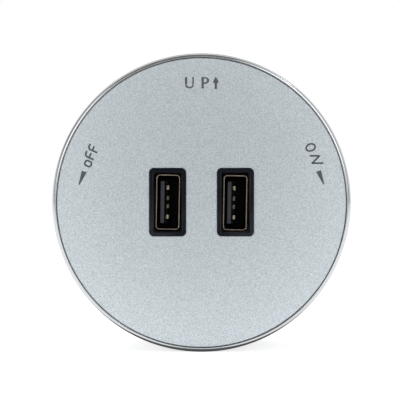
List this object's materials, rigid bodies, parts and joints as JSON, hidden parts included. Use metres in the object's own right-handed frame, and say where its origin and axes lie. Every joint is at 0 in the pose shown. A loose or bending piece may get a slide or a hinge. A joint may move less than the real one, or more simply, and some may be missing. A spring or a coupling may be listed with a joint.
{
  "type": "socket module",
  "caption": "Round plug-in socket module for a wall power track: silver face, chrome bezel, twin upright Type-A charge ports, twist key with spring-locked base.",
  "frame": {"origin": "centre of the base plate's seat, in the plane of the track's face", "axes": "+Z towards the UP mark, +Y into the track, so the face looks along -Y; +X to the right seen from the front; drawn seated and twisted to ON"},
  "size_m": [0.07, 0.0463, 0.07],
  "materials": {
    "silver_paint": "satin",
    "bright_chrome": "polished",
    "port_black": "gloss",
    "shell_steel": "satin",
    "tongue_black": "satin",
    "contact_gold": "polished",
    "board_green": "satin",
    "ferrite": "matte",
    "former_black": "matte",
    "winding_tape": "satin",
    "can_sleeve": "gloss",
    "blue_ceramic": "gloss",
    "chip_black": "matte",
    "fuse_brown": "gloss",
    "key_grey": "satin",
    "base_grey": "matte",
    "zinc_screw": "satin",
    "contact_nickel": "satin",
    "live_lead": "satin",
    "neutral_lead": "satin",
    "washer_white": "satin",
    "spring_steel": "satin",
    "pin_white": "satin"
  },
  "bodies": {
    "base": {"base_plate": "base_grey", "glide_washer": "washer_white", "pin_covers": "zinc_screw", "lock_spring_upper": "spring_steel", "lock_spring_lower": "spring_steel"},
    "head": {"face_plate": "silver_paint", "bezel_ring": "bright_chrome", "port_panel": "port_black", "head_housing": "silver_paint", "panel_screws": "zinc_screw", "board_screws": "zinc_screw", "usb_shell_left": "shell_steel", "usb_shell_right": "shell_steel", "usb_insulator_left": "tongue_black", "usb_insulator_right": "tongue_black", "usb_contacts_left": "contact_gold", "usb_contacts_right": "contact_gold", "power_board": "board_green", "transformer_core": "ferrite", "transformer_former": "former_black", "transformer_winding": "winding_tape", "bulk_capacitors": "can_sleeve", "output_capacitors": "can_sleeve", "bridge_rectifier": "chip_black", "mains_fuse": "fuse_brown", "filter_choke": "ferrite", "safety_capacitor": "blue_ceramic", "optocoupler": "chip_black", "switching_controller": "chip_black", "charge_controllers": "chip_black", "output_diodes": "chip_black", "output_inductor": "ferrite", "surface_resistors": "chip_black", "key_body": "key_grey", "key_spacer": "key_grey", "key_cap": "key_grey", "key_screws": "zinc_screw", "key_flange_screws": "zinc_screw", "line_contact": "contact_nickel", "neutral_contact": "contact_nickel", "earth_contact": "contact_nickel", "line_lead": "live_lead", "neutral_lead": "neutral_lead", "shoulder_screws": "zinc_screw"},
    "pin_upper": {"lock_pin_upper": "pin_white"},
    "pin_lower": {"lock_pin_lower": "pin_white"}
  },
  "joints": [
    {"name": "twist", "type": "hinge", "parent": "base", "child": "head", "pos_m": [0, 0, 0], "axis": [0, -1, 0], "range_deg": [0, 90]},
    {"name": "lock_pin_upper_slide", "type": "slide", "parent": "base", "child": "pin_upper", "axis": [0, 1, 0], "range_m": [0, 0.002], "stiffness_N_per_m": 400, "springref_m": 0.004, "deforming": ["lock_spring_upper"]},
    {"name": "lock_pin_lower_slide", "type": "slide", "parent": "base", "child": "pin_lower", "axis": [0, 1, 0], "range_m": [0, 0.002], "stiffness_N_per_m": 400, "springref_m": 0.004, "deforming": ["lock_spring_lower"]}
  ]
}
